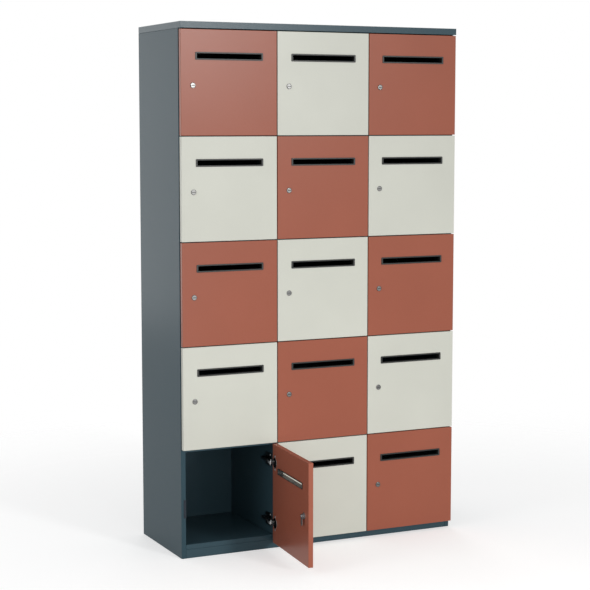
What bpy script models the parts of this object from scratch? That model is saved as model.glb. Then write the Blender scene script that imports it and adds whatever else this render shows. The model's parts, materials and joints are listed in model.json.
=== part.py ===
"""Lockable mail sorter: a free-standing board cabinet with a grid of doors.

Every door has a mail slot with a liner, a cam lock and two concealed hinges.
Metres, +Z up, +X to the right, -Y to the front. The origin is on the floor, at
the middle of the cabinet's footprint. Depths inside the model are measured
backwards from the plane of the door fronts, which is the "cabinet" empty.
"""

import math

import bmesh
import bpy
from mathutils import Matrix, Vector

# Overall size
WIDTH = 1.151
DEPTH = 0.435
HEIGHT = 1.980
COLUMNS = 3
ROWS = 5

# Boards
BOARD = 0.018
TOP_THICK = 0.024
BACK_THICK = 0.008
BASE_TOP = 0.052
EDGE_CHAMFER = 0.0008

# Doors
DOOR_THICK = 0.018
DOOR_GAP = 0.0035
DOOR_STANDOFF = 0.004
DOOR_REVEAL = 0.026
OPEN_ROW = 5
OPEN_COLUMN = 1
OPEN_ANGLE = math.radians(85.0)

# Mail slot and its liner
SLOT_WIDTH = 0.255
SLOT_HEIGHT = 0.0185
SLOT_DROP = 0.0955
LINER_WALL = 0.0022
FLANGE_SIDE = 0.0065
FLANGE_RISE = 0.0049
FLANGE_THICK = 0.0017
SLEEVE_PROUD = 0.003

# Cam lock
LOCK_INSET = 0.0465
LOCK_DROP = 0.2015
LOCK_FACE_RADIUS = 0.010
LOCK_FACE_THICK = 0.0022
BARREL_RADIUS = 0.0078
BARREL_TAIL = 0.003
KEY_SLOT_LENGTH = 0.014
KEY_SLOT_WIDTH = 0.0022
KEY_SLOT_DEPTH = 0.001
CAM_WIDTH = 0.012
CAM_THICK = 0.0025
CAM_CLEARANCE = 0.0006
STRIKE_LIP = 0.003
STRIKE_BITE = 0.005

# Concealed hinges, measured from the door's hinge-side front corner
HINGE_FROM_TOP = 0.070
HINGE_FROM_BOTTOM = 0.079
PIN_INSET = 0.020
PIN_DEPTH = 0.014
PIN_RADIUS = 0.0016
ARM_WIDTH = 0.006
ARM_HEIGHT = 0.010
ARM_REAR = 0.100
ARM_SHOULDER = 0.030
PLATE_THICK = 0.0025
PLATE_LENGTH = 0.040
PLATE_HEIGHT = 0.044
CUP_RIM = 0.004
CUP_FLOOR = 0.006
LINK_LENGTH = 0.020
LINK_BAR = 0.003
LINK_HOOK = 0.0075
LINK_EYE_RADIUS = 0.0034
SLIDE_CLEARANCE = 0.0005

# Clearance between pieces that touch, and overlap of shapes that are joined
FIT = 0.0003
JOIN = 0.001

# Facets of round shapes
FACE_SIDES = 24
BARREL_SIDES = 16
PIN_SIDES = 10

# Derived places
COLUMN_PITCH = WIDTH / COLUMNS
TOP_UNDERSIDE = HEIGHT - TOP_THICK
ROW_PITCH = (TOP_UNDERSIDE - DOOR_GAP / 2 - DOOR_REVEAL) / ROWS
DOOR_WIDTH = COLUMN_PITCH - DOOR_GAP
DOOR_HEIGHT = ROW_PITCH - DOOR_GAP
CARCASS_FRONT = DOOR_THICK + DOOR_STANDOFF
INNER_BACK = DEPTH - BACK_THICK - FIT
LAP_DEPTH = (CARCASS_FRONT + INNER_BACK) / 2
CAM_FRONT = CARCASS_FRONT + STRIKE_LIP + CAM_CLEARANCE
CAM_BACK = CAM_FRONT + CAM_THICK
CUP_LENGTH = PIN_INSET - CUP_RIM + LINK_LENGTH + LINK_BAR / 2 + SLIDE_CLEARANCE
HINGE_HEIGHTS = (HINGE_FROM_BOTTOM, DOOR_HEIGHT - HINGE_FROM_TOP)
SLOT_CENTRE = Vector((-DOOR_WIDTH / 2, 0.0, DOOR_HEIGHT - SLOT_DROP))
LOCK_CENTRE = Vector((LOCK_INSET - DOOR_WIDTH, 0.0, DOOR_HEIGHT - LOCK_DROP))

# Finishes: colour, roughness, metallic
FINISHES = {
    "carcass": ((0.034, 0.068, 0.086), 0.40, 0.0),
    "terracotta": ((0.312, 0.095, 0.058), 0.40, 0.0),
    "cream": ((0.602, 0.609, 0.543), 0.40, 0.0),
    "liner": ((0.018, 0.019, 0.018), 0.40, 0.0),
    "lock": ((0.360, 0.360, 0.355), 0.20, 1.0),
    "hinge": ((0.260, 0.260, 0.260), 0.35, 1.0),
}


def column_line(column):
    """X of the line on the left of a column, counted from 1."""
    return (column - 1) * COLUMN_PITCH - WIDTH / 2


def row_line(row):
    """Height of the line under a row, counted from 1 at the top."""
    return DOOR_REVEAL + (ROWS - row) * ROW_PITCH


def door_bottom(row):
    """Height of the lower edge of the doors in a row."""
    return row_line(row) + DOOR_GAP / 2


def clear_scene():
    """Remove every object."""
    for item in list(bpy.data.objects):
        bpy.data.objects.remove(item)


def make_materials():
    """One Principled material for each finish."""
    made = {}
    for name, (colour, roughness, metallic) in FINISHES.items():
        material = bpy.data.materials.new(name)
        material.use_nodes = True
        shader = material.node_tree.nodes["Principled BSDF"]
        shader.inputs["Base Color"].default_value = (*colour, 1.0)
        shader.inputs["Roughness"].default_value = roughness
        shader.inputs["Metallic"].default_value = metallic
        made[name] = material
    return made


def add_box(bm, low, high):
    """Add a box between two corners."""
    low = Vector(low)
    high = Vector(high)
    place = Matrix.Translation((low + high) / 2) @ Matrix.Diagonal((*(high - low), 1.0))
    bmesh.ops.create_cube(bm, size=1.0, matrix=place)


def add_rod(bm, radius, start, end, sides):
    """Add a closed cylinder between two points."""
    start = Vector(start)
    run = Vector(end) - start
    turn = run.to_track_quat("Z", "Y").to_matrix().to_4x4()
    place = Matrix.Translation(start + run / 2) @ turn
    bmesh.ops.create_cone(
        bm, cap_ends=True, segments=sides, radius1=radius, radius2=radius, depth=run.length, matrix=place
    )


def finish(bm):
    """Turn a bmesh into a mesh."""
    mesh = bpy.data.meshes.new("shape")
    bm.to_mesh(mesh)
    bm.free()
    return mesh


def boxes(*corners, chamfer=0.0):
    """Mesh of separate boxes, each given as its low and high corner."""
    bm = bmesh.new()
    for low, high in corners:
        add_box(bm, low, high)
    if chamfer:
        bmesh.ops.bevel(bm, geom=list(bm.edges), offset=chamfer, segments=1, affect="EDGES")
    return finish(bm)


def rod(radius, start, end, sides):
    """Mesh of one closed cylinder."""
    bm = bmesh.new()
    add_rod(bm, radius, start, end, sides)
    return finish(bm)


def repeat(mesh, places):
    """Mesh holding a copy of a shape at each place."""
    bm = bmesh.new()
    for place in places:
        copy = mesh.copy()
        copy.transform(Matrix.Translation(place))
        bm.from_mesh(copy)
        bpy.data.meshes.remove(copy)
    return finish(bm)


def combine(solid, tool, operation):
    """Mesh of one solid joined with another (UNION) or cut by it (DIFFERENCE)."""
    body = bpy.data.objects.new("body", solid)
    other = bpy.data.objects.new("tool", tool)
    for item in (body, other):
        bpy.context.scene.collection.objects.link(item)
    step = body.modifiers.new("step", "BOOLEAN")
    step.operation = operation
    step.solver = "EXACT"
    step.object = other
    graph = bpy.context.evaluated_depsgraph_get()
    result = bpy.data.meshes.new_from_object(body.evaluated_get(graph))
    for item in (body, other):
        bpy.data.objects.remove(item)
    return result


def join(first, *others):
    """Union of several overlapping solids."""
    for other in others:
        first = combine(first, other, "UNION")
    return first


def place(name, mesh, material, parent, location=(0.0, 0.0, 0.0), turn=0.0):
    """Object with one material, placed under its parent and turned about Z."""
    mesh = mesh.copy()
    mesh.name = name
    mesh.materials.clear()
    mesh.materials.append(material)
    mesh.shade_smooth()
    mesh.set_sharp_from_angle(angle=math.radians(30.0))
    item = bpy.data.objects.new(name, mesh)
    item.location = location
    item.rotation_euler.z = turn
    item.parent = parent
    bpy.context.scene.collection.objects.link(item)
    return item


def round_clear(radius, sides):
    """Radius of a faceted hole that a faceted rod turns in with the fit clearance."""
    return (radius + FIT) / math.cos(math.pi / sides)


def door_mesh():
    """Door with its slot, lock bore and hinge cups, about its hinge axis."""
    panel = boxes(((-DOOR_WIDTH, 0, 0), (0, DOOR_THICK, DOOR_HEIGHT)), chamfer=EDGE_CHAMFER)
    half = Vector((SLOT_WIDTH / 2 + LINER_WALL + FIT, 0, SLOT_HEIGHT / 2 + LINER_WALL + FIT))
    through = Vector((0, DOOR_THICK + JOIN, 0))
    past = Vector((0, -JOIN, 0))
    panel = combine(panel, boxes((SLOT_CENTRE + past - half, SLOT_CENTRE + through + half)), "DIFFERENCE")
    bore = round_clear(BARREL_RADIUS, BARREL_SIDES)
    panel = combine(panel, rod(bore, LOCK_CENTRE + past, LOCK_CENTRE + through, BARREL_SIDES), "DIFFERENCE")
    cup_half = ARM_HEIGHT / 2 + FIT
    cups = [
        ((-CUP_RIM - CUP_LENGTH, CUP_FLOOR, height - cup_half), (-CUP_RIM, DOOR_THICK + JOIN, height + cup_half))
        for height in HINGE_HEIGHTS
    ]
    return combine(panel, boxes(*cups), "DIFFERENCE")


def liner_mesh():
    """Slot liner about the slot's centre on the door front: flange and sleeve round an opening."""
    front = -FIT - FLANGE_THICK
    wide = SLOT_WIDTH / 2
    tall = SLOT_HEIGHT / 2
    flange = boxes(
        ((-wide - FLANGE_SIDE, front, -tall - FLANGE_RISE), (wide + FLANGE_SIDE, -FIT, tall + FLANGE_RISE))
    )
    rear = DOOR_THICK + SLEEVE_PROUD
    sleeve = boxes(
        (
            (-wide - LINER_WALL, front + FLANGE_THICK / 2, -tall - LINER_WALL),
            (wide + LINER_WALL, rear, tall + LINER_WALL),
        )
    )
    opening = boxes(((-wide, front - JOIN, -tall), (wide, rear + JOIN, tall)))
    return combine(join(flange, sleeve), opening, "DIFFERENCE")


def wall_distance(wall_right):
    """Distance from a lock's axis to the face of the wall beside it."""
    return LOCK_INSET + DOOR_GAP / 2 - wall_right


def lock_mesh(wall_right):
    """Lock plug with its cam hanging down, about the lock's axis on the door front."""
    front = -FIT - LOCK_FACE_THICK
    face = rod(LOCK_FACE_RADIUS, (0, -FIT, 0), (0, front, 0), FACE_SIDES)
    barrel = rod(BARREL_RADIUS, (0, -FIT - LOCK_FACE_THICK / 2, 0), (0, CAM_BACK + BARREL_TAIL, 0), BARREL_SIDES)
    reach = wall_distance(wall_right) + STRIKE_BITE
    cam = boxes(((-CAM_WIDTH / 2, CAM_FRONT, -reach), (CAM_WIDTH / 2, CAM_BACK, 0)))
    key_slot = boxes(
        (
            (-KEY_SLOT_LENGTH / 2, front - JOIN, -KEY_SLOT_WIDTH / 2),
            (KEY_SLOT_LENGTH / 2, front + KEY_SLOT_DEPTH, KEY_SLOT_WIDTH / 2),
        )
    )
    return combine(join(face, barrel, cam), key_slot, "DIFFERENCE")


def arm_mesh(wall_left):
    """Hinge arm with its plate and pin, about the hinge axis at the hinge's height."""
    wall_face = DOOR_GAP / 2 - wall_left
    inside = wall_face + JOIN
    near = ARM_WIDTH / 2 - PIN_INSET
    far = -ARM_WIDTH / 2 - PIN_INSET
    low = -ARM_HEIGHT / 2
    neck_front = PIN_DEPTH + LINK_EYE_RADIUS + SLIDE_CLEARANCE
    plate_front = (ARM_SHOULDER + ARM_REAR - PLATE_LENGTH) / 2
    nose = boxes(((far, PIN_DEPTH - ARM_WIDTH / 2, low), (near, ARM_SHOULDER + JOIN, -FIT / 2)))
    neck = boxes(((far, neck_front, low), (near, ARM_SHOULDER + JOIN, -low)))
    body = boxes(((far, ARM_SHOULDER, low), (inside, ARM_REAR, -low)))
    plate = boxes(
        (
            (wall_face - PLATE_THICK, plate_front, -PLATE_HEIGHT / 2),
            (inside, plate_front + PLATE_LENGTH, PLATE_HEIGHT / 2),
        )
    )
    pin = rod(PIN_RADIUS, (-PIN_INSET, PIN_DEPTH, low / 2), (-PIN_INSET, PIN_DEPTH, -low - FIT), PIN_SIDES)
    return join(body, neck, nose, plate, pin)


def link_mesh():
    """Hinge link in its closed position, about the hinge pin: eye, bar and hook."""
    low = FIT / 2
    high = ARM_HEIGHT / 2
    half = LINK_BAR / 2
    eye = rod(LINK_EYE_RADIUS, (0, 0, low), (0, 0, high), BARREL_SIDES)
    bar = boxes(((-LINK_LENGTH - half, -half, low), (0, half, high)))
    hook = boxes(((-LINK_LENGTH - half, -LINK_HOOK, low), (half - LINK_LENGTH, 0, high)))
    hole = rod(round_clear(PIN_RADIUS, PIN_SIDES), (0, 0, low - JOIN), (0, 0, high + JOIN), PIN_SIDES)
    return combine(join(bar, hook, eye), hole, "DIFFERENCE")


def strike_pockets(wall_right):
    """Boxes cut in a wall's right face for the sweep of each cam."""
    distance = wall_distance(wall_right)
    corner = math.hypot(distance + STRIKE_BITE, CAM_WIDTH / 2)
    below = math.sqrt(corner**2 - distance**2) + CAM_CLEARANCE
    above = CAM_WIDTH / 2 + CAM_CLEARANCE
    deep = corner - distance + CAM_CLEARANCE
    spaces = []
    for row in range(1, ROWS + 1):
        height = door_bottom(row) + LOCK_CENTRE.z
        spaces.append(
            (
                (wall_right - deep, CAM_FRONT - CAM_CLEARANCE, height - below),
                (wall_right + JOIN, CAM_BACK + BARREL_TAIL + CAM_CLEARANCE, height + above),
            )
        )
    return boxes(*spaces)


def shelf_height(number):
    """Height of a shelf's middle, counted from 1 at the top."""
    return row_line(number)


def wall_mesh(wall_left, wall_right, bottom, rear):
    """Upright board about a column line, with hinge arms on its left and strikes on its right."""
    low = (-wall_left, CARCASS_FRONT, bottom)
    high = (wall_right, rear, TOP_UNDERSIDE - FIT)
    mesh = boxes((low, high), chamfer=EDGE_CHAMFER)
    if wall_right:
        mesh = combine(mesh, strike_pockets(wall_right), "DIFFERENCE")
    if wall_left:
        places = [
            (-DOOR_GAP / 2, 0, door_bottom(row) + height)
            for row in range(1, ROWS + 1)
            for height in HINGE_HEIGHTS
        ]
        mesh = combine(mesh, repeat(arm_mesh(wall_left), places), "UNION")
    return mesh


def divider_mesh():
    """Divider: a wall with slots in its rear half for the shelves."""
    half = BOARD / 2
    mesh = wall_mesh(half, half, BASE_TOP + FIT, INNER_BACK)
    slots = [
        (
            (-half - JOIN, LAP_DEPTH - FIT, shelf_height(number) - half - FIT),
            (half + JOIN, INNER_BACK + JOIN, shelf_height(number) + half + FIT),
        )
        for number in range(1, ROWS)
    ]
    return combine(mesh, boxes(*slots), "DIFFERENCE")


def shelf_mesh():
    """Shelf across all columns, with slots in its front half for the dividers."""
    half = BOARD / 2
    reach = WIDTH / 2 - BOARD - FIT
    mesh = boxes(((-reach, CARCASS_FRONT, -half), (reach, INNER_BACK, half)), chamfer=EDGE_CHAMFER)
    slots = [
        (
            (column_line(column) - half - FIT, CARCASS_FRONT - JOIN, -half - JOIN),
            (column_line(column) + half + FIT, LAP_DEPTH, half + JOIN),
        )
        for column in range(2, COLUMNS + 1)
    ]
    return combine(mesh, boxes(*slots), "DIFFERENCE")


def build_carcass(cabinet, material):
    """Sides, top, base, plinth, back, dividers and shelves."""
    right_line = column_line(COLUMNS + 1)
    place("left_side", wall_mesh(0.0, BOARD, 0.0, DEPTH), material, cabinet, (column_line(1), 0, 0))
    place("right_side", wall_mesh(BOARD, 0.0, 0.0, DEPTH), material, cabinet, (right_line, 0, 0))
    divider = divider_mesh()
    for column in range(2, COLUMNS + 1):
        place(f"divider_{column - 1}", divider, material, cabinet, (column_line(column), 0, 0))
    shelf = shelf_mesh()
    for number in range(1, ROWS):
        place(f"shelf_{number}", shelf, material, cabinet, (0, 0, shelf_height(number)))
    inner = WIDTH / 2 - BOARD - FIT
    base_low = BASE_TOP - BOARD
    boards = {
        "top_board": ((-WIDTH / 2, 0, TOP_UNDERSIDE), (WIDTH / 2, DEPTH, HEIGHT)),
        "base_board": ((-inner, CARCASS_FRONT, base_low), (inner, INNER_BACK, BASE_TOP)),
        "plinth_rail": ((-inner, CARCASS_FRONT, 0), (inner, CARCASS_FRONT + BOARD, base_low - FIT)),
        "back_panel": ((-inner, DEPTH - BACK_THICK, 0), (inner, DEPTH, TOP_UNDERSIDE - FIT)),
    }
    for name, corners in boards.items():
        place(name, boxes(corners, chamfer=EDGE_CHAMFER), material, cabinet)


def build_doors(cabinet, materials):
    """Doors on their hinge axes, each carrying its slot liner and lock."""
    door = door_mesh()
    liner = liner_mesh()
    end_lock = lock_mesh(BOARD)
    inner_lock = lock_mesh(BOARD / 2)
    for row in range(1, ROWS + 1):
        for column in range(1, COLUMNS + 1):
            tag = f"r{row}c{column}"
            finish_name = "cream" if (row + column) % 2 else "terracotta"
            is_open = (row, column) == (OPEN_ROW, OPEN_COLUMN)
            axis = (column_line(column + 1) - DOOR_GAP / 2, 0, door_bottom(row))
            turn = OPEN_ANGLE if is_open else 0.0
            panel = place(f"door_{tag}", door, materials[finish_name], cabinet, axis, turn)
            place(f"slot_liner_{tag}", liner, materials["liner"], panel, SLOT_CENTRE)
            lock = end_lock if column == 1 else inner_lock
            place(f"lock_{tag}", lock, materials["lock"], panel, LOCK_CENTRE)


def build_links(cabinet, material):
    """The two hinge links that carry the open door."""
    link = link_mesh()
    axis_x = column_line(OPEN_COLUMN + 1) - DOOR_GAP / 2
    for name, height in zip(("hinge_link_lower", "hinge_link_upper"), HINGE_HEIGHTS):
        pin = (axis_x - PIN_INSET, PIN_DEPTH, door_bottom(OPEN_ROW) + height)
        place(name, link, material, cabinet, pin, OPEN_ANGLE)


def main():
    """Build the whole cabinet."""
    clear_scene()
    materials = make_materials()
    cabinet = bpy.data.objects.new("cabinet", None)
    cabinet.location = (0, -DEPTH / 2, 0)
    bpy.context.scene.collection.objects.link(cabinet)
    build_carcass(cabinet, materials["carcass"])
    build_doors(cabinet, materials)
    build_links(cabinet, materials["hinge"])


main()
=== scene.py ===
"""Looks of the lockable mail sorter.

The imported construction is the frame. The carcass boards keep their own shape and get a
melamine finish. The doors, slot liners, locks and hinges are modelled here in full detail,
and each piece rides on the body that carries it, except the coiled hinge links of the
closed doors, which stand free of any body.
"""

from __future__ import annotations

import json
import logging
import math
from collections.abc import Callable, Iterable, Sequence
from dataclasses import dataclass
from enum import Enum, IntEnum
from functools import cache

import bmesh
import bpy
from mathutils import Matrix, Vector

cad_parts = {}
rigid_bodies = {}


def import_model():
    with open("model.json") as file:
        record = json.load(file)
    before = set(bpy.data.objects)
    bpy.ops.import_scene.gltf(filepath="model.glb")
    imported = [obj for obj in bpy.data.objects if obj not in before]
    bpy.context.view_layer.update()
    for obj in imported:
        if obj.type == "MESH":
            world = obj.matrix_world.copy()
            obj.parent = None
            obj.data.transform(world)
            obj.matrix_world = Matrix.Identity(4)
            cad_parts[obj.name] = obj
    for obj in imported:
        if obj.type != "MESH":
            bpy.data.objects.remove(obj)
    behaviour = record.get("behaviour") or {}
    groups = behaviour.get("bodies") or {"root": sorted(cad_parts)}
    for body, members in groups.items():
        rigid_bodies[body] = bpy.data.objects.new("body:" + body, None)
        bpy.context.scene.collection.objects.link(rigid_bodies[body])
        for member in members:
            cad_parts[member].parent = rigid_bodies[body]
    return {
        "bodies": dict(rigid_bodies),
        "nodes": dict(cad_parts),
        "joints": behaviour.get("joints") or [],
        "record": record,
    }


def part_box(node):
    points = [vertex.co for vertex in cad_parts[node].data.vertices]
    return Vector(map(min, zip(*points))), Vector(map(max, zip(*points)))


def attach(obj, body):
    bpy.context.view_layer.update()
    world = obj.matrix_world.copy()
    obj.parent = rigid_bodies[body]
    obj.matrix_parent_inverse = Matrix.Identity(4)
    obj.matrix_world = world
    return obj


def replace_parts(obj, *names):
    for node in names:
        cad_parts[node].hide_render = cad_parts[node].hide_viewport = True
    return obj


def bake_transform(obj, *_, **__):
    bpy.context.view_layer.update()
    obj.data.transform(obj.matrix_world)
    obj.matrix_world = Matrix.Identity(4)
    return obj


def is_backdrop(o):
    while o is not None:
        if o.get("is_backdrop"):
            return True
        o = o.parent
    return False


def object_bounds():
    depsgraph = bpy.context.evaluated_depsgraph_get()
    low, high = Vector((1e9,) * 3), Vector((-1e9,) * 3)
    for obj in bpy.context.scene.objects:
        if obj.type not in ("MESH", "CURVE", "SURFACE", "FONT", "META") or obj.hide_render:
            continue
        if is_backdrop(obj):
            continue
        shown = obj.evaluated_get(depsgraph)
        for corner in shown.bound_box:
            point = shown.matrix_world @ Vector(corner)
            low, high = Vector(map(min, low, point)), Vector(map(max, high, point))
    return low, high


Colour = Point = tuple[float, float, float]
Span = tuple[float, float]
PointTest = Callable[[Vector, Vector], bool]
Socket = bpy.types.NodeSocket

LOG = logging.getLogger("mail_sorter")
COLUMNS = 3
MILLIMETRE = 0.001
SMOOTH_ANGLE = math.radians(35.0)
SLATE_COLOUR: Colour = (0.034, 0.068, 0.086)
WHITE = (1.0, 1.0, 1.0, 1.0)
NOISE_BAND: Span = (0.3, 0.7)  # where most values of a noise pattern lie

# Lengths in millimetres.
SLIVER = 0.001  # shorter edges are cleared away
TOUCH = 0.01  # closer points are at one level
RUN = 1.0  # longer edges go along an axis
OVERCUT = 1.0  # how far a cutter stands out of what it cuts
SKIN = 0.02  # air between faces that lie on each other


class Tone(Enum):
    """Colour of a door."""

    TERRACOTTA = "terracotta"
    CREAM = "cream"


class Wall(Enum):
    """Upright that a door hangs on or locks to, with its board's share on the door's side in mm."""

    DIVIDER = 9.0
    END = 18.0


class Merge(Enum):
    """How two solids become one."""

    CUT = "DIFFERENCE"
    WELD = "UNION"


class Axis(IntEnum):
    """Axis of the frame in which a piece is modelled."""

    X = 0
    Y = 1
    Z = 2


class Sides(IntEnum):
    """Facets round a bar, by its use."""

    NUT = 6
    PIN = 20
    EYE = 24
    BAR = 40
    LOCK = 48
    CUP = 64


def mm(*values: float) -> Vector:
    """Return a point given in millimetres as a vector in metres."""
    return Vector(values) * MILLIMETRE


def everything(a: Vector, b: Vector) -> bool:
    """Choose every edge or face."""
    return True


def runs(axis: Axis, length: float = RUN) -> PointTest:
    """Return a test for edges that go further along an axis than a length."""
    return lambda a, b: abs(a[axis] - b[axis]) > length


def level(axis: Axis) -> PointTest:
    """Return a test for edges with both ends at one place on an axis."""
    return lambda a, b: abs(a[axis] - b[axis]) < TOUCH


def before(axis: Axis, place: float) -> PointTest:
    """Return a test for edges that lie at or before a place on an axis."""
    return lambda a, b: max(a[axis], b[axis]) < place + TOUCH


def after(axis: Axis, place: float) -> PointTest:
    """Return a test for edges that lie at or after a place on an axis."""
    return lambda a, b: min(a[axis], b[axis]) > place - TOUCH


def add_node(
    tree: bpy.types.NodeTree, kind: str, links: dict[str | int, Socket], **values: object
) -> bpy.types.Node:
    """Add a node to a tree.

    Args:
        tree: The tree.
        kind: Type of the node.
        links: Values that feed its inputs, by name or number.
        values: Constant inputs, named with underscores for spaces.

    Returns:
        The node.
    """
    node = tree.nodes.new(kind)
    for key, source in links.items():
        tree.links.new(source, node.inputs[key])
    for name, value in values.items():
        node.inputs[name.replace("_", " ")].default_value = value
    return node


class ShaderBench:
    """Node tree of one material, with short calls for the nodes that the finishes share."""

    def __init__(self, name: str) -> None:
        """Start a material.

        Args:
            name: Name of the material.
        """
        self.material = bpy.data.materials.new(name)
        self.material.use_nodes = True
        self.tree = self.material.node_tree
        self.surface = self.tree.nodes["Principled BSDF"].inputs
        self.place = add_node(self.tree, "ShaderNodeTexCoord", {}).outputs["Object"]

    def noise(self, scale: float, detail: float = 2.0, stretch: Sequence[float] = (1.0, 1.0, 1.0)) -> Socket:
        """Add a noise pattern on the piece's own place.

        Args:
            scale: Waves per metre.
            detail: Octaves.
            stretch: Factors on the three axes.

        Returns:
            The pattern's value.
        """
        mapping = add_node(self.tree, "ShaderNodeMapping", {"Vector": self.place}, Scale=stretch)
        links = {"Vector": mapping.outputs["Vector"]}
        return add_node(self.tree, "ShaderNodeTexNoise", links, Scale=scale, Detail=detail).outputs["Fac"]

    def shades(self, pattern: Socket, colour: Colour, drift: float) -> None:
        """Drift the base colour between a darker and a lighter shade.

        Args:
            pattern: Value from 0 to 1 that picks the shade.
            colour: Colour between the two shades.
            drift: Share by which each shade differs from it.
        """
        ramp = add_node(self.tree, "ShaderNodeValToRGB", {"Fac": pattern})
        for stop, place, factor in zip(ramp.color_ramp.elements, NOISE_BAND, (1 - drift, 1 + drift)):
            stop.position = place
            stop.color = (*(min(1.0, channel * factor) for channel in colour), 1.0)
        self.tree.links.new(ramp.outputs["Color"], self.surface["Base Color"])

    def gloss(self, pattern: Socket, smooth: float, rough: float) -> None:
        """Drift the roughness.

        Args:
            pattern: Value from 0 to 1.
            smooth: Roughness at low values.
            rough: Roughness at high values.
        """
        ends = {"From_Min": NOISE_BAND[0], "From_Max": NOISE_BAND[1], "To_Min": smooth, "To_Max": rough}
        span = add_node(self.tree, "ShaderNodeMapRange", {"Value": pattern}, **ends)
        self.tree.links.new(span.outputs["Result"], self.surface["Roughness"])

    def relief(self, pattern: Socket, height: float, strength: float) -> None:
        """Raise the surface by a pattern, to a height in metres of which a share shows."""
        bump = add_node(self.tree, "ShaderNodeBump", {"Height": pattern}, Distance=height, Strength=strength)
        self.tree.links.new(bump.outputs["Normal"], self.surface["Normal"])


@dataclass(frozen=True)
class BoardFinish:
    """Matt melamine: an even colour that drifts in soft clouds, with a fine pearl grain."""

    name: str
    colour: Colour
    roughness: float = 0.275
    rough_drift: float = 0.04
    specular: float = 0.16
    drift: float = 0.025
    cloud_scale: float = 4.0
    grain_scale: float = 900.0
    grain_detail: float = 1.0
    grain_height: float = 0.00012
    relief: float = 0.35

    def material(self) -> bpy.types.Material:
        """Make the material.

        Returns:
            The material.
        """
        bench = ShaderBench(self.name)
        bench.surface["Specular IOR Level"].default_value = self.specular
        bench.shades(bench.noise(self.cloud_scale), self.colour, self.drift)
        grain = bench.noise(self.grain_scale, self.grain_detail)
        bench.gloss(grain, self.roughness - self.rough_drift, self.roughness + self.rough_drift)
        bench.relief(grain, self.grain_height, self.relief)
        return bench.material


@dataclass(frozen=True)
class PlasticFinish(BoardFinish):
    """Moulded plastic, made up as the boards are, with a spark-eroded grain."""

    roughness: float = 0.42
    rough_drift: float = 0.06
    specular: float = 0.4
    drift: float = 0.12
    cloud_scale: float = 60.0
    grain_scale: float = 1600.0
    grain_detail: float = 2.0
    grain_height: float = 0.00008
    relief: float = 0.4


@dataclass(frozen=True)
class MetalFinish:
    """Plated metal with fine drawing lines along one axis."""

    name: str
    colour: Colour
    roughness: float
    smoother: float = 0.8
    rougher: float = 1.25
    lines: Point = (1.0, 1.0, 0.08)
    line_scale: float = 700.0
    line_height: float = 0.00004
    drift: float = 0.06
    relief: float = 0.3

    def material(self) -> bpy.types.Material:
        """Make the material.

        Returns:
            The material.
        """
        bench = ShaderBench(self.name)
        bench.surface["Metallic"].default_value = 1.0
        drawn = bench.noise(self.line_scale, stretch=self.lines)
        bench.shades(drawn, self.colour, self.drift)
        bench.gloss(drawn, self.roughness * self.smoother, self.roughness * self.rougher)
        bench.relief(drawn, self.line_height, self.relief)
        return bench.material


class Finish(Enum):
    """The finishes of the whole sorter."""

    SLATE = BoardFinish("slate_melamine", SLATE_COLOUR, specular=0.175)
    SLATE_SIDE = BoardFinish("slate_side_melamine", SLATE_COLOUR, specular=0.085)
    TERRACOTTA = BoardFinish("terracotta_melamine", (0.326, 0.0995, 0.0605))
    CREAM = BoardFinish("cream_melamine", (0.602, 0.609, 0.543))
    LINER = PlasticFinish("liner_black", (0.018, 0.019, 0.018), roughness=0.38, specular=0.3)
    NICKEL = MetalFinish("lock_nickel", (0.145, 0.145, 0.142), 0.30, relief=0.03, drift=0.03)
    # Darker than the plug's nickel: painted shade on the bezel round the plug.
    RING = MetalFinish("lock_ring_painted_shade", (0.11, 0.11, 0.11), 0.24, relief=0.05)
    # Near-black block in the key slot: painted shade inside the slot.
    KEYWAY = PlasticFinish("lock_keyway_painted_shade", (0.012, 0.012, 0.012), roughness=0.6, specular=0.2)
    ZINC = MetalFinish("cam_zinc", (0.26, 0.26, 0.265), 0.30)
    # Near-black copy of the hinge metal: painted shade on cups, plates, arms, caps, necks and adjusters.
    ONYX = MetalFinish("hinge_painted_shade", (0.050, 0.053, 0.056), 0.36)
    STEEL = MetalFinish("hinge_steel", (0.40, 0.40, 0.40), 0.36)
    SATIN = MetalFinish("hinge_satin", (0.56, 0.57, 0.57), 0.45)
    GUNMETAL = MetalFinish("strike_gunmetal", (0.026, 0.031, 0.038), 0.5)

    @cache
    def material(self) -> bpy.types.Material:
        """Return the material, made at its first use."""
        return self.value.material()


@dataclass(frozen=True)
class Rounding:
    """Rounded edge: its radius in millimetres and the facets across it."""

    radius: float
    steps: int = 3


FINE_EDGE = Rounding(0.3, 2)
SMALL_EDGE = Rounding(0.6, 2)


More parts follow.
